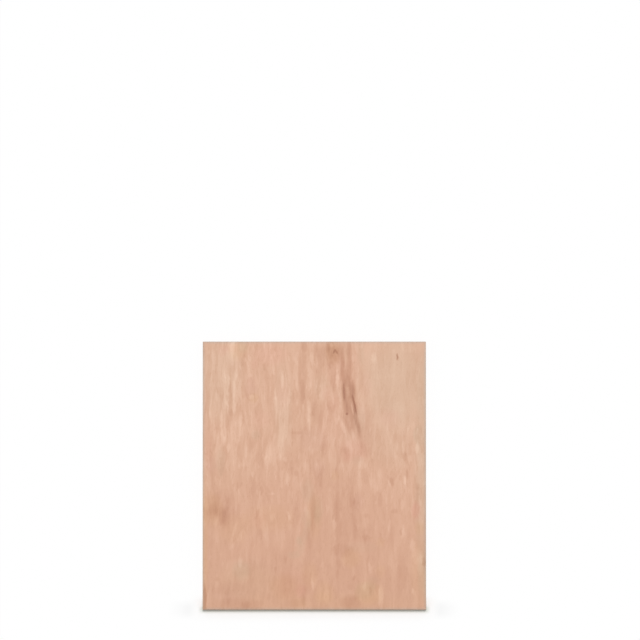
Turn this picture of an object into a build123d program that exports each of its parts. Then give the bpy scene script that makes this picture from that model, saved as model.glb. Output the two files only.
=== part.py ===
from build123d import *
import os

# A sheet of light hardwood plywood, lying flat on its back.
# +Z is up, out of the face; +Y runs with the face grain, along the sheet's length.
# The origin is the centre of the back, where the sheet rests.

# Driving dimensions, in millimetres
sheet_length = 600.0
sheet_width = 500.0
sheet_thickness = 18.0
# A sawn corner loses its point in handling, seen in plan
corner_radius = 1.0
# A light pass of abrasive paper eases the arrises round the face and the back
arris_radius = 0.4

# The sheet: its sawn outline, pressed thickness and eased arrises.
# The veneers are glued into one piece, so they are one solid.
with BuildPart() as plywood_sheet:
    with BuildSketch(Plane.XY) as sawn_outline:
        Rectangle(sheet_width, sheet_length)
        fillet(sawn_outline.vertices(), radius=corner_radius)
    extrude(amount=sheet_thickness)
    face_and_back = plywood_sheet.faces().filter_by(Axis.Z)
    fillet(face_and_back.edges(), radius=arris_radius)

plywood_sheet.part.label = "plywood_sheet"

os.makedirs("parts", exist_ok=True)
export_step(plywood_sheet.part, "parts/plywood_sheet.step")
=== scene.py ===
"""The looks of a sheet of light hardwood plywood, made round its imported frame.

The sheet lies flat on its back with its good face up, and the face grain runs along Y. Lengths are in
metres, apart from what lies on a veneer, which is in millimetres from the middle of its face.
Tones are in levels, one for each step of an 8-bit picture, above or below a finish's middle tone.
"""

import logging
from dataclasses import dataclass
from enum import Enum, IntEnum
from math import atan2, cos, pi, radians, sin
from typing import Any

import bpy
import numpy as np
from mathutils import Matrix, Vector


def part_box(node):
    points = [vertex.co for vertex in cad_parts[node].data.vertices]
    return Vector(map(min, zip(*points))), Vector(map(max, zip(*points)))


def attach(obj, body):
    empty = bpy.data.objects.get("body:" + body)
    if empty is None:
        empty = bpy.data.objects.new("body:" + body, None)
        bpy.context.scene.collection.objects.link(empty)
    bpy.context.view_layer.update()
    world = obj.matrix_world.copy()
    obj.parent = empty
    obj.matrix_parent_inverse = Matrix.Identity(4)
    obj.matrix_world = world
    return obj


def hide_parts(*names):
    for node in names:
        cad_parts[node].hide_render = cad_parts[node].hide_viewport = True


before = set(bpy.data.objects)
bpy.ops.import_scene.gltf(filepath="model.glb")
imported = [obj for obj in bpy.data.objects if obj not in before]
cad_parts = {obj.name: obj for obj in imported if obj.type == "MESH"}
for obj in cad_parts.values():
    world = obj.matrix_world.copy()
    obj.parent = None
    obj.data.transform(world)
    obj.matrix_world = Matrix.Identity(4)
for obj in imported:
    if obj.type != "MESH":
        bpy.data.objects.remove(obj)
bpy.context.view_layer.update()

LOG = logging.getLogger("plywood_sheet")
MM = 0.001
NODE = "plywood_sheet"
PIECE = "plywood_sheet_dressed"

Colour = tuple[float, float, float, float]
Point = tuple[float, float, float]
Pair = tuple[float, float]
Paint = tuple[int, int, int]

WHITE: Colour = (1.0, 1.0, 1.0, 1.0)
# What a noise is multiplied by so that it fills -1 to 1, and how far each seed moves its pattern.
NOISE_REACH = 1.6
SEED_STEP = (3.7, 5.3, 7.9)
# How deep the cells of a pattern reach below the surface that it lies on, in millimetres.
THROUGH = 1000.0
WOOD_IOR = 1.45
# What keeps a division clear of nought.
TINY = 1e-6


def paint(red: int, green: int, blue: int) -> Colour:
    """Turns a colour as a picture writes it into the linear light that shaders use.

    Args:
        red: Red, from 0 to 255.
        green: Green, from 0 to 255.
        blue: Blue, from 0 to 255.

    Returns:
        The linear red, green and blue, and an alpha of 1.
    """
    shares = np.array((red, green, blue)) / 255
    linear = np.where(shares <= 0.04045, shares / 12.92, ((shares + 0.055) / 1.055) ** 2.4)
    return (*linear.tolist(), 1.0)


class Surface(IntEnum):
    """The parts of the sheet's skin, numbered as their materials are on its mesh."""

    FACE = 0
    EDGE = 1
    BACK = 2


class Blend(Enum):
    """The ways in which one colour goes over another."""

    OVER = "MIX"
    TINT = "MULTIPLY"


@dataclass(frozen=True)
class Term:
    """A number that varies over a surface: the output of a node, with Python's arithmetic."""

    board: "NodeBoard"
    socket: bpy.types.NodeSocket

    def __add__(self, other: "Term | float") -> "Term":
        """Returns this number plus another."""
        return self.board.maths("ADD", self, other)

    __radd__ = __add__

    def __sub__(self, other: "Term | float") -> "Term":
        """Returns this number less another."""
        return self.board.maths("SUBTRACT", self, other)

    def __rsub__(self, other: float) -> "Term":
        """Returns a plain number less this one."""
        return self.board.maths("SUBTRACT", other, self)

    def __mul__(self, other: "Term | float") -> "Term":
        """Returns this number times another."""
        return self.board.maths("MULTIPLY", self, other)

    __rmul__ = __mul__

    def __mod__(self, other: float) -> "Term":
        """Returns what is left of this number after whole steps of another."""
        return self.board.maths("FLOORED_MODULO", self, other)

    def __abs__(self) -> "Term":
        """Returns this number without its sign."""
        return self.board.maths("ABSOLUTE", self)

    def floor(self) -> "Term":
        """Returns the whole number at or below this one."""
        return self.board.maths("FLOOR", self)

    def above(self, other: "Term | float") -> "Term":
        """Returns 1 where this number is more than another, and otherwise 0."""
        return self.board.maths("GREATER_THAN", self, other)

    def least(self, other: "Term | float") -> "Term":
        """Returns the smaller of this number and another."""
        return self.board.maths("MINIMUM", self, other)

    def share(self, low: float, high: float) -> "Term":
        """Returns how far this number is from low to high, eased and held between 0 and 1."""
        settings = {"interpolation_type": "SMOOTHSTEP"}
        values = {"Value": self, "From Min": low, "From Max": high}
        return self.board.term("MapRange", settings, values, "Result")


@dataclass(frozen=True)
class Ramp:
    """A colour ramp with evenly spaced stops, given as a picture writes their colours."""

    stops: tuple[Paint, ...]

    def fill(self, ramp: bpy.types.ColorRamp) -> None:
        """Writes the stops into a node's ramp.

        Args:
            ramp: The ramp of a ColorRamp node, which starts with two stops.
        """
        for _ in self.stops[2:]:
            ramp.elements.new(0.5)
        places = np.linspace(0, 1, len(self.stops)).tolist()
        for element, place, stop in zip(ramp.elements, places, self.stops, strict=True):
            element.position = place
            element.color = paint(*stop)


class NodeBoard:
    """The node tree of one material or world, and the one place where its nodes are made."""

    def __init__(self, owner: bpy.types.Material | bpy.types.World) -> None:
        """Clears the owner's tree.

        Args:
            owner: The material or world whose nodes these are.
        """
        owner.use_nodes = True
        self.tree = owner.node_tree
        self.tree.nodes.clear()

    def node(self, kind: str, settings: dict[str, Any], values: dict[str, Any]) -> bpy.types.Node:
        """Adds one node.

        Args:
            kind: The node's type, without the words ShaderNode.
            settings: The node's own settings, which are set first, a Ramp among them.
            values: What each socket gets, by its name or identifier: a number, a colour, a link, or
                a node, whose first output is then linked.

        Returns:
            The new node.
        """
        made = self.tree.nodes.new("ShaderNode" + kind)
        for name, setting in settings.items():
            if isinstance(setting, Ramp):
                setting.fill(getattr(made, name))
            else:
                setattr(made, name, setting)
        for name, value in values.items():
            found = [s for s in made.inputs if name in (s.identifier, s.name) and s.enabled]
            source = value.socket if isinstance(value, Term) else value
            source = source.outputs[0] if isinstance(source, bpy.types.Node) else source
            if isinstance(source, bpy.types.NodeSocket):
                self.tree.links.new(source, found[0])
            else:
                found[0].default_value = source
        return made

    def term(self, kind: str, settings: dict[str, Any], values: dict[str, Any], output: str) -> Term:
        """Adds one node as node() does, and returns the output of that name as a number."""
        return Term(self, self.node(kind, settings, values).outputs[output])

    def maths(self, operation: str, *operands: Term | float) -> Term:
        """Adds one Math node, and returns its answer."""
        names = ("Value", "Value_001", "Value_002")
        return self.term("Math", {"operation": operation}, dict(zip(names, operands)), "Value")

    def vector_maths(self, operation: str, *operands: Any, output: str = "Vector") -> Any:
        """Adds one Vector Math node, and returns the socket of its answer."""
        values = dict(zip(("Vector", "Vector_001", "Vector_002"), operands))
        return self.node("VectorMath", {"operation": operation}, values).outputs[output]

    def mix(self, amount: Term | float, under: Any, over: Any, blend: Blend = Blend.OVER) -> Any:
        """Puts one colour over another.

        Args:
            amount: How much of the second colour goes on, from 0 to 1.
            under: The first colour.
            over: The second colour.
            blend: How it goes on.

        Returns:
            The socket of the mixed colour.
        """
        settings = {"data_type": "RGBA", "blend_type": blend.value}
        values = {"Factor_Float": amount, "A_Color": under, "B_Color": over}
        mixed = self.node("Mix", settings, values)
        return next(s for s in mixed.outputs if s.identifier == "Result_Color")

    def place(self) -> tuple[Any, Term, Term, Term]:
        """Reads the place on the piece.

        Returns:
            The place as a vector socket, and its x, y and z as numbers.
        """
        spot = self.node("TexCoord", {}, {}).outputs["Object"]
        parts = self.node("SeparateXYZ", {}, {"Vector": spot})
        return spot, *(Term(self, parts.outputs[axis]) for axis in "XYZ")

    def vector(self, x: Term | float, y: Term | float, z: Term | float) -> Any:
        """Returns the socket of a vector made of three numbers."""
        return self.node("CombineXYZ", {}, {"X": x, "Y": y, "Z": z}).outputs["Vector"]

    def noise(self, spot: Any, cell: Point, seed: float, detail: float = 0.0) -> Term:
        """Makes a smooth random pattern of stretched cells.

        Args:
            spot: The vector socket of the place, in metres.
            cell: The size of a cell along x, y and z, in millimetres.
            seed: What sets this pattern apart from the others.
            detail: How many finer patterns are added, each half the size of the last.

        Returns:
            The pattern, which lies about 0 and seldom passes -1 or 1.
        """
        scale = tuple(1 / (size * MM) for size in cell)
        shift = tuple(seed * step for step in SEED_STEP)
        mapped = self.vector_maths("MULTIPLY_ADD", spot, scale, shift)
        values = {"Vector": mapped, "Scale": 1.0, "Detail": detail}
        return self.term("TexNoise", {"normalize": False}, values, "Fac") * NOISE_REACH

    def ramp(self, ramp: Ramp, place: Term) -> Any:
        """Returns the socket of a ramp's colour at a place from 0 to 1."""
        return self.node("ValToRGB", {"color_ramp": ramp}, {"Fac": place}).outputs["Color"]

    def wood(self, colour: Any, roughness: Term, height: Term, strength: float, depth: float) -> None:
        """Ends the tree in a bare wood surface with a fine relief.

        Args:
            colour: The colour's socket.
            roughness: The roughness.
            height: The height of the relief, from 0 to 1.
            strength: How strongly the relief shows.
            depth: How deep the relief is, in metres.
        """
        bump = self.node("Bump", {}, {"Strength": strength, "Distance": depth, "Height": height})
        values = {"Base Color": colour, "Roughness": roughness, "Normal": bump, "IOR": WOOD_IOR}
        self.node("OutputMaterial", {}, {"Surface": self.node("BsdfPrincipled", {}, values)})


@dataclass(frozen=True)
class Mark:
    """A soft-edged patch on a veneer, most often longer along the grain than across it.

    Its place and half sizes are in millimetres, its strength is in levels, and its lean is in
    degrees, with the far end to the left.
    """

    across: float
    along: float
    half_width: float
    half_length: float
    strength: float
    lean: float = 0.0

    def sums(self) -> np.ndarray:
        """Works out the sums that turn a place on the face into a place in the patch.

        Returns:
            A row for the place across the patch and a row for the place along it, each counted in
            half sizes: what x is multiplied by, what y is multiplied by, and what is added.
        """
        turn = radians(self.lean)
        axes = np.array([[cos(turn), sin(turn)], [-sin(turn), cos(turn)]])
        axes /= np.array([[self.half_width * MM], [self.half_length * MM]])
        middle = np.array([self.across * MM, self.along * MM])
        return np.column_stack([axes, -axes @ middle])


def marks(*rows: tuple[float, ...]) -> tuple[Mark, ...]:
    """Returns the marks whose fields the rows give, in the order that Mark has them."""
    return tuple(Mark(*row) for row in rows)


NO_MARK = Mark(0, 0, 1, 1, 0)


@dataclass(frozen=True)
class Figure:
    """A set of marks that lie on one veneer."""

    marks: tuple[Mark, ...]

    def tone(self, board: NodeBoard, x: Term, y: Term) -> Term | float:
        """Adds up what the marks do to each place.

        With r the distance from a mark's middle, counted in its half sizes, and c = 1 - r * r, the
        mark counts by c * c * (3 - 2 * c), which is flat in the middle and eases out to nothing at
        r = 1. Three marks are worked out at a time, one in each coordinate of a vector.

        Args:
            board: Where the nodes go.
            x: The place across the sheet.
            y: The place along it.

        Returns:
            The sum of the marks' strengths, each by as much as its mark counts, or 0 without any.
        """
        maths = board.vector_maths
        nothing = (0.0, 0.0, 0.0)
        whole = (1.0, 1.0, 1.0)
        across = board.vector(x, x, x)
        along = board.vector(y, y, y)
        padded = self.marks + (NO_MARK,) * (-len(self.marks) % 3)
        total = 0.0
        for first in range(0, len(padded), 3):
            trio = padded[first : first + 3]
            squared = nothing
            for by_x, by_y, shift in np.stack([mark.sums() for mark in trio], axis=-1).tolist():
                part = maths("MULTIPLY_ADD", across, by_x, shift)
                part = maths("MULTIPLY_ADD", along, by_y, part)
                squared = maths("MULTIPLY_ADD", part, part, squared)
            inside = maths("SUBTRACT", whole, squared)
            inside = maths("MAXIMUM", inside, nothing)
            easing = maths("MULTIPLY_ADD", inside, (-2.0, -2.0, -2.0), (3.0, 3.0, 3.0))
            counted = maths("MULTIPLY", inside, inside)
            counted = maths("MULTIPLY", counted, easing)
            strengths = tuple(mark.strength for mark in trio)
            found = Term(board, maths("DOT_PRODUCT", counted, strengths, output="Value"))
            total = found + total
        return total


@dataclass(frozen=True)
class Streaks:
    """One size of random streak, with its cells in millimetres.

    Its depth is in levels where it changes the tone, in metres where it bends or frays the grain,
    and otherwise 1, for a pattern that the finish weighs itself.
    """

    across: float
    along: float
    depth: float = 1.0
    detail: float = 0.0

    def pattern(self, board: NodeBoard, spot: Any, seed: float) -> Term:
        """Returns what the streaks do to each place."""
        return board.noise(spot, (self.across, self.along, THROUGH), seed, self.detail) * self.depth


@dataclass(frozen=True)
class Flecks:
    """Short random dashes, with their cells in millimetres.

    Only what rises past the start of the pattern shows, so fewer show as the start goes up. The
    edge is how far the pattern rises from there to the dash's full depth, so a small one is crisp.
    The depth is in levels where it changes the tone, and a share for pores and glue.
    """

    across: float
    along: float
    depth: float
    start: float
    edge: float = 0.45
    detail: float = 0.0

    def pattern(self, board: NodeBoard, spot: Any, seed: float) -> Term:
        """Returns what the dashes do to each place."""
        noise = board.noise(spot, (self.across, self.along, THROUGH), seed, self.detail)
        return noise.share(self.start, self.start + self.edge) * self.depth


@dataclass(frozen=True)
class Tint:
    """A change of hue in patches of a veneer, whose marks give how much of the tint goes on."""

    colour: Colour
    marks: tuple[Mark, ...]


@dataclass(frozen=True)
class Check:
    """An open check: a split in the veneer that runs with the grain, in millimetres."""

    across: float
    along: float
    half_width: float
    half_length: float
    depth: float
    lean: float

    def sunk(self, x: np.ndarray, y: np.ndarray) -> np.ndarray:
        """Works out how far the veneer is sunk at each place.

        The split is a V: its depth falls evenly from the middle line to both sides, and the sides
        draw together towards the two ends as a parabola does.

        Args:
            x: How far across the sheet each place is, in metres.
            y: How far along the sheet each place is, in metres.

        Returns:
            The depths, in metres.
        """
        turn = radians(self.lean)
        right = x - self.across * MM
        up = y - self.along * MM
        aside = right * cos(turn) + up * sin(turn)
        ahead = (up * cos(turn) - right * sin(turn)) / (self.half_length * MM)
        room = self.half_width * MM * np.clip(1 - ahead**2, TINY, None)
        return self.depth * MM * np.clip(1 - np.abs(aside) / room, 0, None)


@dataclass(frozen=True)
class Veneer:
    """The finish of one bare sanded veneer: its grain, its marks, its pores and its fibres.

    The figure's marks fray as the veneer's fibres do, and those of the splits keep their outline.
    """

    name: str
    seed: float
    half_width: float
    half_length: float
    tones: Ramp
    streaks: tuple[Streaks, ...]
    flecks: tuple[Flecks, ...]
    figure: Figure
    splits: Figure = Figure(())
    tints: tuple[Tint, ...] = ()
    slope: float = 0.0
    calm_share: float = 0.0
    smooth_share: float = 0.0
    calm_across: Pair = (85 * MM, 125 * MM)
    calm_along: Pair = (95 * MM, 150 * MM)
    smooth_along: Pair = (-170 * MM, 10 * MM)
    sway: Streaks = Streaks(150.0, 260.0, 7.0 * MM)
    ripple: Streaks = Streaks(28.0, 60.0, 2.0 * MM, 1.0)
    fray: Streaks = Streaks(9.0, 26.0, 1.4 * MM)
    fine_fray: Streaks = Streaks(4.0, 9.0, 1.3 * MM)
    fibre: Streaks = Streaks(0.7, 14.0, detail=1.0)
    pore: Flecks = Flecks(0.5, 5.0, depth=1.0, start=0.5, edge=0.4)
    fibre_height: float = 0.3
    pore_depth: float = 0.7
    flat: float = 0.6
    relief: float = 0.5
    relief_depth: float = 0.12 * MM
    pore_tint: Colour = paint(206, 178, 160)
    pore_share: float = 0.25
    rim_tint: Colour = (0.84, 0.975, 1.09, 1.0)
    rim_width: float = 7.0 * MM
    level: float = 0.0125
    roughness: float = 0.6
    fibre_roughness: float = 0.05

    def scatter(self, board: NodeBoard, grain: Any, x: Term, y: Term) -> Term:
        """Adds up the random streaks and flecks.

        They are fainter in the calm part at the far right, and towards the near end.

        Args:
            board: Where the nodes go.
            grain: The vector socket of the bent place.
            x: The place across the sheet.
            y: The place along it.

        Returns:
            The tone, in levels.
        """
        tone = 0.0
        for number, streak in enumerate(self.streaks + self.flecks, start=1):
            tone = streak.pattern(board, grain, self.seed + number) + tone
        calm = x.share(*self.calm_across) * y.share(*self.calm_along)
        smooth = 1 - y.share(*self.smooth_along)
        return tone * (1 - calm * self.calm_share) * (1 - smooth * self.smooth_share)

    def rim(self, x: Term, y: Term) -> Term:
        """Returns 1 at the arris, easing to 0 at the inner side of the darker, greyer rim."""
        inward = (self.half_width - abs(x)).least(self.half_length - abs(y))
        return 1 - inward.share(0.0, self.rim_width)

    def material(self) -> bpy.types.Material:
        """Makes the veneer's material.

        The grain is the place bent sideways, so that the streaks wander as fibres do.

        Returns:
            The material, which reads only Object coordinates.
        """
        made = bpy.data.materials.new(self.name)
        board = NodeBoard(made)
        spot, x, y, z = board.place()
        sway = self.sway.pattern(board, spot, self.seed + 0.1)
        ripple = self.ripple.pattern(board, spot, self.seed + 0.2)
        grain = board.vector(x + sway + ripple, y, z)
        tone = self.scatter(board, grain, x, y) + y * (self.slope / MM)
        frayed = self.fray.pattern(board, spot, self.seed + 0.3) + x
        frayed = self.fine_fray.pattern(board, spot, self.seed + 0.4) + frayed
        tone = tone + self.figure.tone(board, frayed, y)
        # The splits' marks hold brown stains and painted shade along the open checks.
        tone = tone + self.splits.tone(board, x, y)
        colour = board.ramp(self.tones, tone * self.level + 0.5)
        for tint in self.tints:
            amount = Figure(tint.marks).tone(board, frayed, y)
            colour = board.mix(amount, colour, tint.colour, Blend.TINT)
        colour = board.mix(self.rim(x, y), colour, self.rim_tint, Blend.TINT)
        fibre = self.fibre.pattern(board, grain, self.seed + 31)
        pore = self.pore.pattern(board, grain, self.seed + 32)
        colour = board.mix(pore * self.pore_share, colour, self.pore_tint, Blend.TINT)
        roughness = fibre * self.fibre_roughness + self.roughness
        height = fibre * self.fibre_height - pore * self.pore_depth + self.flat
        board.wood(colour, roughness, height, self.relief, self.relief_depth)
        return made


@dataclass(frozen=True)
class SawnEdge:
    """The finish of the sawn edges, where the plies show one above the other.

    The face and back veneers are thinner than the plies between them. Every second ply has its
    grain across the sheet, so along each side long grain and end grain take turns.
    """

    name: str
    seed: float
    half_width: float
    half_length: float
    thickness: float
    outer_ply: float = 1.5 * MM
    inner_plies: int = 7
    wave: Point = (45.0, 45.0, 6.0)
    wobble: float = 0.1 * MM
    ply_tone: float = 16.0
    broad: Streaks = Streaks(26.0, 1.6, 6.0)
    fibres: Streaks = Streaks(9.0, 0.22, 9.0, 1.0)
    pores: Streaks = Streaks(0.45, 0.4, 10.0, 1.0)
    hair: Streaks = Streaks(0.9, 9.0, detail=1.0)
    hair_tone: float = 3.0
    level: float = 0.0158
    glue: Colour = paint(104, 66, 44)
    glue_line: float = 0.11 * MM
    glue_edge: Pair = (0.4, 1.6)
    glue_patches: Flecks = Flecks(7.0, 2.0, depth=0.7, start=-0.6, edge=1.1)
    least_glue: float = 0.2
    hair_height: float = 0.3
    fibre_height: float = 0.02
    pore_depth: float = 0.03
    glue_depth: float = 0.4
    flat: float = 0.6
    relief: float = 0.7
    relief_depth: float = 0.18 * MM
    roughness: float = 0.68
    end_roughness: float = 0.12
    long_grain: Ramp = Ramp(((172, 128, 98), (212, 172, 140), (232, 202, 174)))
    end_grain: Ramp = Ramp(((120, 80, 56), (176, 130, 98), (206, 166, 134)))

    def material(self) -> bpy.types.Material:
        """Makes the edges' material.

        Returns:
            The material, which reads only Object coordinates.
        """
        made = bpy.data.materials.new(self.name)
        board = NodeBoard(made)
        spot, x, y, z = board.place()
        on_long_side = (abs(x) - self.half_width).above(abs(y) - self.half_length)
        run = (y - x) * on_long_side + x
        side = board.vector(run, z, on_long_side * 0.5)

        ply_height = (self.thickness - 2 * self.outer_ply) / self.inner_plies
        pressed = board.noise(spot, self.wave, self.seed + 1) * self.wobble + z
        plies_up = (pressed - self.outer_ply) * (1 / ply_height)
        ply = plies_up.floor() + 1
        shows_ends = abs(ply % 2 - 1 + on_long_side)
        from_glue = abs((plies_up + 0.5) % 1 - 0.5) * ply_height

        settings = {"noise_dimensions": "2D"}
        values = {"Vector": board.vector(ply, on_long_side, 0.0)}
        own_tone = (board.term("TexWhiteNoise", settings, values, "Value") - 0.5) * self.ply_tone
        broad = self.broad.pattern(board, side, self.seed + 2)
        fibres = self.fibres.pattern(board, side, self.seed + 3)
        pores = self.pores.pattern(board, side, self.seed + 4)
        hair = self.hair.pattern(board, side, self.seed + 5)
        tone = own_tone + broad + hair * self.hair_tone
        long_colour = board.ramp(self.long_grain, (tone + fibres) * self.level + 0.5)
        end_colour = board.ramp(self.end_grain, (tone + pores) * self.level + 0.5)
        colour = board.mix(shows_ends, long_colour, end_colour)

        patches = self.glue_patches.pattern(board, side, self.seed + 6) + self.least_glue
        inner, outer = (self.glue_line * share for share in self.glue_edge)
        glued = (1 - from_glue.share(inner, outer)) * patches
        colour = board.mix(glued, colour, self.glue)

        fine = fibres * self.fibre_height - pores * self.pore_depth * shows_ends
        height = hair * self.hair_height + fine - glued * self.glue_depth + self.flat
        roughness = shows_ends * self.end_roughness + self.roughness
        board.wood(colour, roughness, height, self.relief, self.relief_depth)
        return made


FACE_TONES = Ramp(((170, 118, 92), (196, 146, 118), (213, 167, 139), (229, 188, 162), (243, 208, 186)))
BACK_TONES = Ramp(((156, 104, 78), (184, 134, 104), (202, 155, 125), (218, 176, 148), (234, 197, 172)))

OPEN_CHECKS = (
    Check(across=89.8, along=159.0, half_width=1.0, half_length=23.0, depth=0.8, lean=13.0),
    Check(across=66.6, along=186.0, half_width=0.5, half_length=19.0, depth=0.3, lean=2.0),
)

# The brown stain round the pin knot at the far end, and the two brown streaks beside it.
KNOT_STAIN = marks(
    (42, 282, 27, 36, -11), (30, 286, 7, 14, -8), (47, 281, 10, 12, -7), (44.5, 278, 3, 8, -14, -30),
    (49.5, 277, 3.2, 9, -18, 35), (38, 292, 5, 6, 7), (38, 248, 8, 12, -9), (63, 250, 6, 50, -14),
    (78, 262, 8, 62, -16), (52, 270, 15, 28, -7), (33, 272, 9, 36, -10), (66, 236, 12, 36, -9),
    (72, 284, 22, 26, -7),
)

# The two brown streaks below them, with the open check on the right one and pale slivers about.
# The darkest narrow marks along the two open checks are painted shade in the splits.
SPLIT_STAIN_AND_SHADE = marks(
    (80, 176, 24, 56, -11, 8), (80, 128, 20, 46, -10, 14), (66.5, 190, 7, 36, -16, 2),
    (66.5, 188, 4, 24, -16, 3), (70, 154, 7, 30, -10, 6), (73, 138, 3.5, 4, -28),
    (86, 190, 10, 26, -13, 6), (89.6, 160, 3.6, 26, -34, 13), (76, 162, 10, 30, -5),
    (84, 188, 9, 54, -8, 8), (95, 148, 6, 18, -9, 8), (71, 222, 6, 26, -8), (98, 90, 5, 16, -8),
    (90, 122, 10, 46, -5, 10), (95, 124, 7, 38, -20, 12), (101, 100, 6, 24, -10, 8), (104, 62, 4, 26, -5),
    (85.5, 148, 2.6, 20, 20, 13), (74, 112, 5, 34, -8, 20), (86, 90, 4, 16, 13, 8), (80, 66, 13, 22, 8),
    (62, 114, 6, 30, 11, 20),
)

# The brown blotch at the left side, with a wide halo.
BLOTCH = marks(
    (-212, -78, 48, 52, -6), (-202, -92, 18, 28, -8), (-232, -76, 20, 18, -5), (-192, -92, 22, 34, -3),
    (-236, -92, 13, 24, -5), (-221, -102, 6, 18, 7), (-214, -74, 24, 20, -5), (-203, -92, 6, 22, -6),
    (-222, -88, 5, 18, -4),
)

PALE_BANDS = marks(
    (-184, 285, 8, 20, 9), (-183, 279, 19, 40, 8, -12), (-198, 212, 12, 55, 8), (-176, 227, 5, 15, 8),
    (-199, 222, 3, 24, 10), (-194, 166, 3, 40, 9), (-208, 115, 3.5, 42, 11), (-180, 193, 3, 46, 9),
    (-224, 96, 3.5, 28, 8), (-154, 56, 4, 28, 7), (-88, 184, 3.5, 20, 9), (20, 112, 3.5, 24, 8),
    (-192, 216, 5, 16, 8), (-200, 150, 8, 38, 8), (-202, 96, 8, 36, 12), (-211, 82, 13, 26, 8),
    (-180, 152, 5.5, 20, 12), (-165, 125, 6, 21, 11, -5), (-222, 146, 20, 46, 6), (-92, 62, 20, 40, 5),
    (-108, -72, 12, 18, 5), (142, -8, 20, 48, 4), (100, -8, 8, 46, 8), (215, 157, 40, 60, 3),
    (188, 140, 26, 34, 4), (240, -20, 9, 200, 3), (238, -200, 10, 30, 5), (-229, 258, 9, 40, 6),
    (176, -186, 14, 44, 4), (-160, -222, 18, 24, 5), (0, -240, 7, 20, 7), (-172, 103, 18, 42, 10),
    (-158, 26, 5, 16, 9), (-193, 62, 4, 14, 11), (-142, 176, 9, 6, 9, 35), (-131, 161, 4.5, 13, 7, -25),
    (-86, 168, 4, 22, 8), (-71.5, 213, 4.5, 27, 10), (-57, 176, 4.5, 30, 9, -6), (-78, 140, 24, 76, 4),
    (-72, 72, 24, 48, 8), (-65, 36, 7, 8, 9, 30), (-103, 40, 9, 46, 7), (-39, 262, 7, 20, 7),
    (-5, 262, 6, 20, 10), (-12, 200, 7, 14, 10), (-13, 135, 9, 42, 10), (21, 190, 8, 30, 10),
    (51, 222, 4, 40, 9), (58, 166, 5, 40, 10), (112, 140, 5, 34, 4, 8), (107, 30, 13, 20, 8),
    (134, 264, 7, 17, 10), (142, -24, 12, 18, 4), (148, 3, 5, 18, 6), (160, 122, 22, 24, 5),
    (185, 210, 120, 150, 3), (195, 0, 70, 110, 3), (181, 58, 14, 26, 6), (193, -32, 12, 28, 5),
    (88, -216, 7, 18, 6), (229, 62, 6, 17, 12), (214, 38, 7, 11, 7), (45, -108, 5, 24, 10),
    (30, -68, 6, 34, 5), (-110, -120, 7, 34, 6, 8), (-80, -147, 20, 36, 5), (-20, -72, 7, 28, 5),
    (220, -157, 9, 18, 10), (230, -180, 16, 24, 7), (149, -272, 8, 36, 12), (-230, 80, 7, 50, 5),
    (-103, 213, 22, 26, 2), (204, 106, 36, 24, 5), (115, 30, 16, 34, 6), (-214, 45, 18, 26, 5),
    (-90, 46, 30, 30, 4), (-172, -200, 40, 18, 5), (226, -198, 24, 36, 4), (113, -240, 16, 30, 4),
    (-190, 262, 16, 36, 4), (238, -86, 14, 34, 4),
)

BROWN_BANDS = marks(
    (-156, 255, 9, 36, -9), (-188, 193, 3, 50, -8), (-204, 180, 2.5, 26, -7), (-27, 232, 11, 82, -10),
    (-26, 182, 7, 30, -6), (-22, 289, 10, 16, -11), (-47, 176, 4.5, 20, -10), (10, 226, 7, 26, -10),
    (6, 274, 16, 26, -8), (34, 218, 8, 42, -10), (-20, 270, 10, 34, -5), (4, 40, 18, 18, -6),
    (8, 140, 14, 40, -7), (43, 212, 8, 34, -14), (10, 192, 5, 28, -11), (38, 155, 12, 20, -6),
    (22, 62, 8, 26, -6), (-140, 68, 13, 26, -9), (-46, 60, 9, 75, -9), (-4, 124, 7, 46, -7),
    (71, 45, 14, 30, -8), (165, 75, 19, 50, 5), (10, -10, 12, 40, -6), (-4, -84, 10, 54, -7),
    (-40, -84, 12, 44, -5), (50, -66, 10, 44, -6), (56, -126, 11, 46, -6), (53, -100, 9, 95, -5),
    (-24, -268, 8, 30, -5), (46, -84, 8, 46, -4), (76, -92, 40, 80, -3), (144, -226, 8, 18, -6),
    (18, -250, 6, 26, -5), (-46, -286, 26, 12, -6), (50, -162, 7, 32, -6), (108, -132, 26, 22, -4),
    (-86, -276, 12, 22, -6), (-24, -282, 7, 18, -5), (54, -196, 8, 16, -7), (112, -138, 8, 26, -6),
    (70, 56, 12, 10, -6), (62, -168, 29, 20, -8), (88, -64, 11, 78, -4), (91, -120, 6, 38, -7),
    (117, -139, 12, 9, -7), (-14, -186, 12, 124, -6, -5), (-66, -246, 46, 38, -4),
    (137, -240, 7, 34, -8, 10), (80, -284, 29, 21, -11), (-172, -290, 74, 20, -7),
    (-150, -206, 24, 24, -5), (-245, -274, 5, 44, -22), (-192, -270, 9, 28, -6), (196, -222, 16, 64, -4),
    (32, 262, 38, 36, -5), (-118, 290, 20, 18, -5), (76, 215, 20, 80, -5), (34, 232, 20, 26, -3),
    (-168, 150, 14, 60, -3), (-198, -44, 34, 22, -4), (-198, -118, 24, 20, -3), (-200, -252, 50, 20, -4),
    (36, -55, 10, 24, -3), (-2, 134, 18, 22, -3), (25, 56, 20, 30, -3), (126, -118, 14, 16, -3),
)

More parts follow.
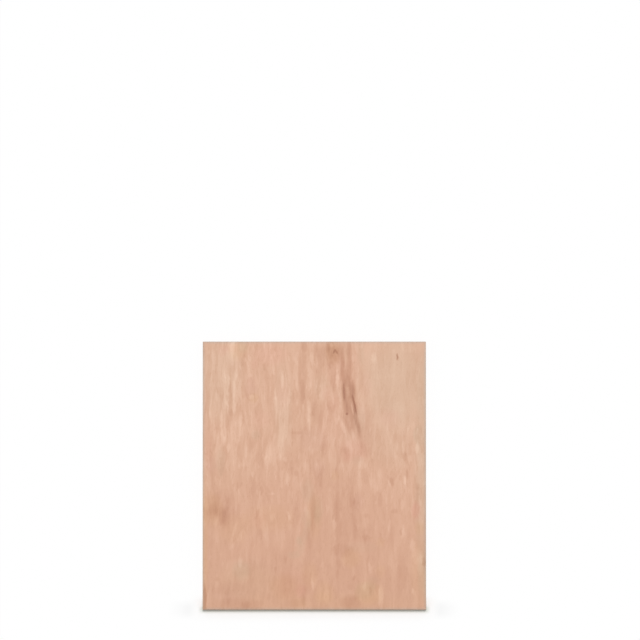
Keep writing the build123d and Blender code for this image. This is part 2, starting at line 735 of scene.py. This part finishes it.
# The short dark and pale dashes that stand out one by one, mostly small crushed or torn spots.
DASHES = marks(
    (186, 266, 2.8, 10, -40), (194.5, 246, 4, 16, -6), (202.5, 43, 6, 13, -11), (207.5, 31, 7, 12, -6),
    (207.5, 3, 4.5, 16, -11), (203, -11, 4.5, 13, 15, 5), (173, -14, 7, 13, -15, 6),
    (186, 4, 4, 28, -5, -29), (164, -4, 5, 16, -4, 40), (167.5, -18, 4.5, 12, 9, 25),
    (231, -25, 6, 10, -8), (-112.5, 244, 5.5, 12, -8), (-186, 141, 5.5, 11, -8), (-173, 205, 4.5, 17, -7),
    (-38.5, 95.5, 16, 5, -7), (-116, 28, 4, 18, -6), (-40, 5, 7, 9, -9), (-59, -10, 6, 18, 8),
    (-117.5, -33, 4, 16, -9), (-95, -41, 10, 4, 9), (-143, -8, 4.5, 18, -6), (-143, -37, 6, 20, -5),
    (-128.5, -87, 5, 17, -10, -20), (-56.5, -90, 4, 17, 10, 25), (-89, -104, 4, 12, -7),
    (-96, -94, 4, 12, 7), (-120, -131, 5.5, 18, -9), (-166, -138, 4.5, 22, 7, -12),
    (-180, -124, 5, 28, 8, -12), (-183, -158, 5, 16, 6, -35), (-166, -192, 5, 20, 9),
    (-65, -188, 4, 12, -6), (-87, -211, 4.5, 11, -9), (-218, -232, 7, 7, -6), (-218, -246, 6, 14, 5),
    (-152, -290, 13, 11, -8), (-101, -271, 6, 11, -6), (89, -58, 5, 11, -8), (81.5, -78, 4.5, 10, 8),
    (42, -93, 4.5, 9, -9), (116, -90, 9, 6, -5), (179, -80, 9, 7, -7), (196, -64, 5, 16, 7),
    (236, -57, 4, 16, 8), (168, -115, 4, 22, 8), (199, -124, 4, 20, 9, -8), (193, -126, 3.5, 11, -8),
    (246, -193, 5, 14, -14), (124, -208, 5.5, 20, 11), (66, -191, 5, 20, 6), (52, -221, 4, 17, -8),
    (89, -229, 4.5, 9, -10), (79, -249, 9, 9, -5), (-4, -243, 4, 22, 8, 10), (27, -268, 9, 20, 5),
    (125, -256, 4, 12, -7), (113, -248, 5.5, 13, 8), (222, -260, 5, 12, 8, 15),
)

# The few wide bands on the plainer back.
BACK_MARKS = marks((-120, 160, 26, 120, -9, -4), (150, -90, 18, 150, -8, 3), (40, 60, 30, 200, 8, 2))

# Patches where the veneer is more beige, more red, more mauve or more yellow than the rest.
BEIGE = marks(
    (-215, 225, 70, 130, 0.5), (-70, 150, 26, 130, 0.4), (190, 212, 110, 124, 0.8), (172, 90, 80, 90, 0.3),
    (15, 200, 21, 36, 0.3), (-15, -35, 18, 36, 0.5), (8, -75, 18, 36, 0.4), (-34, -160, 14, 30, 0.35),
    (-163, -212, 26, 28, 0.7), (248, 0, 28, 330, 0.8), (-210, 30, 14, 42, 0.45), (-18, -95, 14, 26, 0.4),
    (-46, -178, 18, 12, 0.5), (8, -92, 10, 30, 0.4), (-34, -145, 10, 12, 0.5), (-150, -230, 80, 60, 0.25),
    (130, -240, 18, 18, 0.4), (98, 34, 18, 14, 0.4), (112, -258, 28, 26, 0.6), (102, 124, 18, 36, 0.4),
    (108, -160, 50, 16, 0.25), (236, 90, 20, 26, 0.9), (-160, 290, 14, 20, 0.6), (-130, 90, 14, 14, 0.5),
    (-20, -130, 12, 44, 0.4, -20), (243, -220, 16, 70, 0.5), (105, 275, 12, 34, 0.4),
)
RED = marks(
    (-100, 272, 50, 32, 0.5), (52, 236, 28, 56, 0.35), (-188, 284, 20, 14, 0.4), (170, 124, 30, 26, 0.25),
    (-30, -258, 16, 18, 0.4), (-70, 180, 18, 46, 0.35), (-134, 248, 12, 16, 0.35), (88, 240, 20, 60, 0.25),
    (45, 165, 14, 26, 0.25), (-236, 50, 10, 60, 0.3), (-120, 125, 26, 26, 0.25), (90, 56, 44, 34, 0.5),
    (-140, 210, 16, 26, 0.15), (26, 186, 16, 18, 0.3), (-206, 280, 12, 16, 0.4), (-210, -80, 56, 62, 0.1),
    (-125, -100, 22, 26, 0.25), (-45, -245, 56, 46, 0.25), (228, -78, 12, 26, 1.0),
    (165, 136, 32, 22, 0.3), (70, 40, 16, 14, 0.3), (116, 200, 16, 40, 0.3), (0, -150, 330, 230, 0.25),
    (40, 110, 40, 90, 0.25),
)
MAUVE = marks(
    (-143, 196, 18, 30, 0.3), (-4, 82, 44, 36, 0.25), (96, 100, 50, 80, 0.18), (10, 18, 22, 26, 0.22),
    (100, -58, 18, 28, 0.22), (-230, 24, 16, 24, 0.3), (-178, -262, 56, 36, 0.2),
)
YELLOW = marks(
    (-172, 280, 28, 28, 0.4), (42, 276, 22, 34, 0.45), (-136, 174, 14, 14, 0.4), (-228, -78, 30, 48, 0.5),
    (-180, -120, 48, 42, 0.3), (0, -90, 22, 66, 0.4), (82, -186, 28, 28, 0.45), (-66, -250, 44, 36, 0.4),
    (22, -262, 28, 34, 0.45), (122, -262, 40, 34, 0.6), (235, -215, 26, 95, 0.3), (0, -290, 260, 34, 0.25),
    (-36, -284, 26, 16, 0.25), (-100, -96, 75, 38, 0.3), (-10, -225, 24, 40, 0.35),
    (148, -150, 14, 14, 0.3), (148, -215, 16, 20, 0.3), (235, -118, 14, 20, 0.4),
    (-150, -240, 90, 50, 0.2), (47, 0, 12, 14, 0.3), (-246, -170, 10, 220, 0.5),
)
TINTS = (
    Tint((0.93, 1.0, 1.0, 1.0), BEIGE),
    Tint((1.0, 0.91, 0.93, 1.0), RED),
    Tint((0.955, 0.93, 1.0, 1.0), MAUVE),
    Tint((1.0, 1.0, 0.86, 1.0), YELLOW),
)


@dataclass
class PlywoodSheet:
    """The sheet: one closed skin with a face, sawn edges and a back."""

    low: Any
    high: Any
    corner_radius: float = 1.0 * MM
    arris_radius: float = 0.4 * MM
    coarse_across: float = 6.0 * MM
    coarse_along: float = 7.5 * MM
    fine_across: float = 0.5 * MM
    fine_along: float = 2.0 * MM
    splits_across: Pair = (60 * MM, 108 * MM)
    splits_along: Pair = (90 * MM, 216 * MM)
    corner_steps: int = 3
    arris_steps: int = 5
    side_steps: int = 35

    def __post_init__(self) -> None:
        """Takes the sheet's size from its CAD node's box."""
        self.half_width = (self.high.x - self.low.x) / 2
        self.half_length = (self.high.y - self.low.y) / 2
        self.thickness = self.high.z - self.low.z

    def lines(self, half: float, fine: Pair, fine_step: float, step: float) -> np.ndarray:
        """Spaces the lines of the face's grid along one axis.

        They are close together where the veneer is split and in the rounded corners.

        Args:
            half: Half the size of the flat of the face.
            fine: Where the close lines start and end.
            fine_step: How far apart the close lines are.
            step: How far apart the others are.

        Returns:
            The places of the lines, in order.
        """
        corner = self.corner_radius - self.arris_radius
        turn = np.linspace(0, corner, self.corner_steps, endpoint=False)
        ends = (-half + corner, *fine, half - corner)
        steps = (step, fine_step, step)
        runs = []
        for start, end, gap in zip(ends, ends[1:], steps):
            count = max(1, round((end - start) / gap))
            runs.append(np.linspace(start, end, count, endpoint=False))
        return np.concatenate([-half + turn, *runs, half - corner + turn, [half]])

    def flat(self) -> tuple[np.ndarray, np.ndarray]:
        """Lays the grid of the face out in plan, with its corners rounded.

        In each corner square, the larger of the two distances from the inner corner becomes the
        radius, and the smaller over the larger becomes the angle, up to an eighth of a turn.

        Returns:
            Two arrays, x and y, with a row for each line across.
        """
        inset = self.arris_radius
        radius = self.corner_radius - inset
        reach = [self.half_width - inset, self.half_length - inset]
        columns = self.lines(reach[0], self.splits_across, self.fine_across, self.coarse_across)
        rows = self.lines(reach[1], self.splits_along, self.fine_along, self.coarse_along)
        x, y = np.meshgrid(columns, rows)
        inner_x = reach[0] - radius
        inner_y = reach[1] - radius
        right = np.clip(np.abs(x) - inner_x, 0, None)
        up = np.clip(np.abs(y) - inner_y, 0, None)
        corner = (right > 0) & (up > 0)
        far = np.maximum(right, up)
        near = np.minimum(right, up)
        angle = np.where(corner, near / np.where(corner, far, 1), 0) * pi / 4
        angle = np.where(right >= up, angle, pi / 2 - angle)
        x = np.where(corner, np.sign(x) * (inner_x + far * np.cos(angle)), x)
        y = np.where(corner, np.sign(y) * (inner_y + far * np.sin(angle)), y)
        return x, y

    def face(self, x: np.ndarray, y: np.ndarray) -> np.ndarray:
        """Returns the points of the face, which is the sanded flat less the open checks."""
        sunk = np.max([check.sunk(x, y) for check in OPEN_CHECKS], axis=0)
        return np.stack([x, y, self.high.z - sunk], axis=-1)

    def back(self, x: np.ndarray, y: np.ndarray) -> np.ndarray:
        """Returns the points of the back, which is the grid laid flat on the floor."""
        return np.stack([x, y, np.full_like(x, self.low.z)], axis=-1)

    def round_trip(self, grid: np.ndarray) -> np.ndarray:
        """Returns the values on the grid's border, anticlockwise as seen from above, each once."""
        return np.concatenate([grid[0, :-1], grid[:-1, -1], grid[-1, :0:-1], grid[:0:-1, 0]])

    def edge(self, border: np.ndarray) -> np.ndarray:
        """Carries the sheet's profile round its border.

        The profile is a quarter circle over the upper arris, the sawn side, and a quarter circle
        under the lower arris, and it stands square to the border at each point.

        Args:
            border: The border of the face's flat, as points.

        Returns:
            The points, as an array of profile steps, border points and coordinates.
        """
        turn = np.linspace(0, pi / 2, self.arris_steps + 1)[1:]
        out = self.arris_radius * np.sin(turn)
        drop = self.arris_radius * (1 - np.cos(turn))
        square = (self.arris_radius, self.thickness - self.arris_radius)
        side = np.linspace(*square, self.side_steps + 1)[1:-1]
        outs = np.concatenate([out, np.full(side.size, self.arris_radius), out[::-1]])
        drops = np.concatenate([drop, side, self.thickness - drop[::-1]])
        radius = self.corner_radius - self.arris_radius
        plan = border[:, :2]
        reach = np.array([self.half_width, self.half_length]) - self.corner_radius
        normal = (plan - np.clip(plan, -reach, reach)) / radius
        spread = plan[None] + normal[None] * outs[:, None, None]
        height = np.broadcast_to((self.high.z - drops)[:, None], spread.shape[:2])
        return np.concatenate([spread, height[..., None]], axis=-1)

    def build(self) -> bpy.types.Object:
        """Joins the face, the edges and the back into one closed mesh.

        Returns:
            The sheet's object.
        """
        x, y = self.flat()
        face = self.face(x, y)
        edge = self.edge(self.round_trip(face))
        back = self.back(x, y)
        points = np.concatenate([part.reshape(-1, 3) for part in (face, edge, back)])

        face_numbers = np.arange(x.size).reshape(x.shape)
        edge_numbers = x.size + np.arange(edge.shape[0] * edge.shape[1]).reshape(edge.shape[:2])
        back_numbers = face_numbers + x.size + edge_numbers.size
        rims = [self.round_trip(numbers) for numbers in (face_numbers, back_numbers)]
        ring = np.vstack([rims[0], edge_numbers, rims[1]])
        ring = np.column_stack([ring, ring[:, 0]])
        skins = {
            Surface.FACE: quads(face_numbers),
            Surface.EDGE: quads(ring[::-1]),
            Surface.BACK: quads(back_numbers[:, ::-1]),
        }
        mesh = bpy.data.meshes.new(PIECE)
        corners = np.concatenate(list(skins.values()))
        mesh.from_pydata(points, [], corners)
        surfaces = np.repeat(list(skins), [len(skin) for skin in skins.values()])
        mesh.polygons.foreach_set("material_index", surfaces.astype(np.int32))
        mesh.polygons.foreach_set("use_smooth", np.ones(len(corners), bool))
        mesh.update()
        sheet = bpy.data.objects.new(PIECE, mesh)
        bpy.context.scene.collection.objects.link(sheet)
        return sheet

    def face_finish(self) -> bpy.types.Material:
        """Returns the material of the good face."""
        return Veneer(
            name="face_veneer",
            seed=1.0,
            tones=FACE_TONES,
            streaks=(
                Streaks(44.0, 210.0, 2.5),
                Streaks(18.0, 95.0, 3.2),
                Streaks(9.0, 60.0, 2.6),
                Streaks(5.5, 36.0, 1.2),
            ),
            flecks=(
                Flecks(11.0, 62.0, 4.5, start=0.1, edge=0.2, detail=1.0),
                Flecks(10.0, 52.0, -4.0, start=0.2, edge=0.2, detail=1.0),
                Flecks(5.0, 20.0, 5.0, start=0.5, edge=0.3),
                Flecks(5.0, 18.0, -4.5, start=0.5, edge=0.3),
            ),
            figure=Figure(BLOTCH + PALE_BANDS + BROWN_BANDS + DASHES),
            splits=Figure(KNOT_STAIN + SPLIT_STAIN_AND_SHADE),
            tints=TINTS,
            half_width=self.half_width,
            half_length=self.half_length,
            slope=0.02,
            calm_share=0.4,
            smooth_share=0.42,
        ).material()

    def edge_finish(self) -> bpy.types.Material:
        """Returns the material of the sawn edges."""
        return SawnEdge(
            name="sawn_edge",
            seed=11.0,
            half_width=self.half_width,
            half_length=self.half_length,
            thickness=self.thickness,
        ).material()

    def back_finish(self) -> bpy.types.Material:
        """Returns the material of the plainer back."""
        return Veneer(
            name="back_veneer",
            seed=21.0,
            tones=BACK_TONES,
            streaks=(
                Streaks(60.0, 260.0, 5.0),
                Streaks(20.0, 110.0, 5.0),
                Streaks(8.0, 50.0, 5.0),
                Streaks(3.0, 16.0, 5.0, detail=1.0),
            ),
            flecks=(
                Flecks(4.0, 18.0, -10.0, start=0.55),
                Flecks(6.0, 26.0, 7.0, start=0.6),
            ),
            figure=Figure(BACK_MARKS),
            half_width=self.half_width,
            half_length=self.half_length,
        ).material()

    def dress(self, sheet: bpy.types.Object) -> None:
        """Gives each surface its finish, in the order of the surfaces' numbers."""
        for finish in (self.face_finish(), self.edge_finish(), self.back_finish()):
            sheet.data.materials.append(finish)


def quads(numbers: np.ndarray) -> np.ndarray:
    """Returns a numbered grid's faces, anticlockwise where columns run to the right and rows up."""
    corners = (numbers[:-1, :-1], numbers[:-1, 1:], numbers[1:, 1:], numbers[1:, :-1])
    return np.stack(corners, axis=-1).reshape(-1, 4)


@dataclass(frozen=True)
class Viewpoint:
    """A long lens high over the sheet, looking down on its face."""

    frame_size: float = 640.0
    sensor: float = 36.0
    lens: float = 350.0
    face_width: float = 223.3
    face_centre: Pair = (314.35, 475.5)
    slant: float = 1.0
    clip_end: float = 100.0

    def set_up(self, sheet: PlywoodSheet) -> bpy.types.Object:
        """Makes the camera.

        It stands where the middle of the face is seen at the slant, at the distance that gives the
        face its width in the frame. It is then tilted until the face lies as low as it should.

        Args:
            sheet: The sheet, whose size the distance comes from.

        Returns:
            The camera.
        """
        focal = self.lens / self.sensor * self.frame_size
        middle = self.frame_size / 2
        aside = (middle - self.face_centre[0]) / focal
        below = atan2(self.face_centre[1] - middle, focal)
        depth = focal * 2 * sheet.half_width / self.face_width
        reach = depth / cos(below)
        slant = radians(self.slant)
        data = bpy.data.cameras.new("camera")
        data.type = "PERSP"
        data.sensor_width = self.sensor
        data.lens = self.lens
        data.clip_end = self.clip_end
        camera = bpy.data.objects.new("camera", data)
        camera.location = (aside * depth, -reach * sin(slant), sheet.high.z + reach * cos(slant))
        camera.rotation_euler = (slant + below, 0.0, 0.0)
        bpy.context.scene.collection.objects.link(camera)
        bpy.context.scene.camera = camera
        return camera


@dataclass(frozen=True)
class Studio:
    """A white floor under a soft sky, with one soft lamp nearly overhead.

    The floor shines white where it is seen, and takes light and shadow only in part, but more of
    them along the sheet's near edge. A painted contact shadow darkens its colour where the sheet
    touches it, and a faint painted shade in its glow reaches out beside the near corners.
    """

    floor_size: float = 60.0
    floor_drop: float = 0.05 * MM
    bounce: float = 0.6
    sky: float = 0.45
    lamp: float = 0.55
    lamp_tilt: float = 14.0
    lamp_spread: float = 17.0
    shaded: float = 0.12
    shaded_near: float = 0.95
    near: Pair = (12.0 * MM, 36.0 * MM)
    # A painted contact shadow: the floor's darker, greener colour where the sheet touches it, and how far
    # it reaches.
    painted_contact_shadow: Colour = (0.74, 0.77, 0.71, 1.0)
    painted_shadow_reach: float = 12.0 * MM
    # A faint painted shade in the floor's glow beside the near corners.
    corner_shade: float = 0.11
    corner_beside: float = 85.0 * MM
    corner_ahead: Pair = (4.0 * MM, 26.0 * MM)
    lamp_height: float = 2.0

    def floor(self, sheet: PlywoodSheet) -> bpy.types.Object:
        """Makes the floor, which shows white and keeps the sheet's shadow.

        Args:
            sheet: The sheet that lies on it.

        Returns:
            The floor.
        """
        spread = np.linspace(-self.floor_size / 2, self.floor_size / 2, 3)
        x, y = np.meshgrid(spread, spread)
        points = np.stack([x, y, np.full_like(x, -self.floor_drop)], axis=-1).reshape(-1, 3)
        mesh = bpy.data.meshes.new("floor")
        mesh.from_pydata(points, [], quads(np.arange(x.size).reshape(x.shape)))
        floor = bpy.data.objects.new("floor", mesh)
        bpy.context.scene.collection.objects.link(floor)
        mesh.materials.append(self.white(sheet))
        return floor

    def white(self, sheet: PlywoodSheet) -> bpy.types.Material:
        """Makes the floor's material.

        Args:
            sheet: The sheet that lies on it.

        Returns:
            The material.
        """
        made = bpy.data.materials.new("floor")
        board = NodeBoard(made)
        _, x, y, _ = board.place()
        ahead = abs(y + sheet.half_length)
        beside = abs(x) - sheet.half_width
        near = (1 - ahead.share(*self.near)) * (1 - beside.share(*self.near))
        takes = near * (self.shaded_near - self.shaded) + self.shaded
        # Painted contact shadow: the floor's lit colour darkens towards where the sheet touches it.
        reach = (0.0, self.painted_shadow_reach)
        painted_shadow_mask = (1 - ahead.share(*reach)) * (1 - beside.share(*reach))
        lit = board.node("BsdfDiffuse", {}, {"Color": board.mix(painted_shadow_mask, WHITE, self.painted_contact_shadow)})
        # Painted shade: the floor's glow is dimmed beside the near corners.
        corner = (1 - beside.share(0.0, self.corner_beside)) * (1 - ahead.share(*self.corner_ahead))
        strength = 1 - corner * self.corner_shade
        glow = board.node("Emission", {}, {"Color": WHITE, "Strength": strength})
        shown = board.node("MixShader", {}, {"Fac": takes, "Shader": glow, "Shader_001": lit})
        grey = board.node("BsdfDiffuse", {}, {"Color": (self.bounce, self.bounce, self.bounce, 1.0)})
        values = {"Fac": self.seen(board), "Shader": grey, "Shader_001": shown}
        board.node("OutputMaterial", {}, {"Surface": board.node("MixShader", {}, values)})
        return made

    def seen(self, board: NodeBoard) -> Term:
        """Tells the rays that see a surface from those that only light it.

        Args:
            board: Where the nodes go.

        Returns:
            1 for a ray from the camera, or by way of gloss or glass, and otherwise 0.
        """
        path = board.node("LightPath", {}, {})
        kinds = ("Is Camera Ray", "Is Glossy Ray", "Is Transmission Ray")
        camera, glossy, through = (Term(board, path.outputs[kind]) for kind in kinds)
        return board.maths("MAXIMUM", board.maths("MAXIMUM", camera, glossy), through)

    def world(self) -> None:
        """Makes the sky: soft light all round, and plain white where it is seen."""
        made = bpy.data.worlds.new("sky")
        board = NodeBoard(made)
        strength = self.seen(board) * (1.0 - self.sky) + self.sky
        values = {"Color": WHITE, "Strength": strength}
        board.node("OutputWorld", {}, {"Surface": board.node("Background", {}, values)})
        bpy.context.scene.world = made

    def overhead(self) -> None:
        """Hangs the lamp, tilted so that the shadow falls towards the near edge."""
        data = bpy.data.lights.new("overhead_lamp", "SUN")
        tilt = radians(self.lamp_tilt)
        data.energy = self.lamp * pi / cos(tilt)
        data.angle = radians(self.lamp_spread)
        lamp = bpy.data.objects.new("overhead_lamp", data)
        lamp.location = (0.0, self.lamp_height * sin(tilt), self.lamp_height * cos(tilt))
        lamp.rotation_euler = (-tilt, 0.0, 0.0)
        bpy.context.scene.collection.objects.link(lamp)

    def set_up(self, sheet: PlywoodSheet) -> None:
        """Makes the floor, the sky and the lamp, and sets how colours are shown.

        Args:
            sheet: The sheet that lies on the floor.
        """
        self.floor(sheet)
        self.world()
        self.overhead()
        bpy.context.scene.view_settings.view_transform = "Standard"


def main() -> None:
    """Builds the sheet and its surroundings, and reports each."""
    logging.basicConfig(level=logging.INFO, format="%(message)s")
    sheet = PlywoodSheet(*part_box(NODE))
    piece = sheet.build()
    sheet.dress(piece)
    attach(piece, "root")
    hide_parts(NODE)
    LOG.info("%s: %d faces", piece.name, len(piece.data.polygons))
    Studio().set_up(sheet)
    LOG.info("studio: floor, sky and lamp")
    camera = Viewpoint().set_up(sheet)
    LOG.info("camera: %s", tuple(round(c, 4) for c in camera.location))


if __name__ == "__main__":
    main()
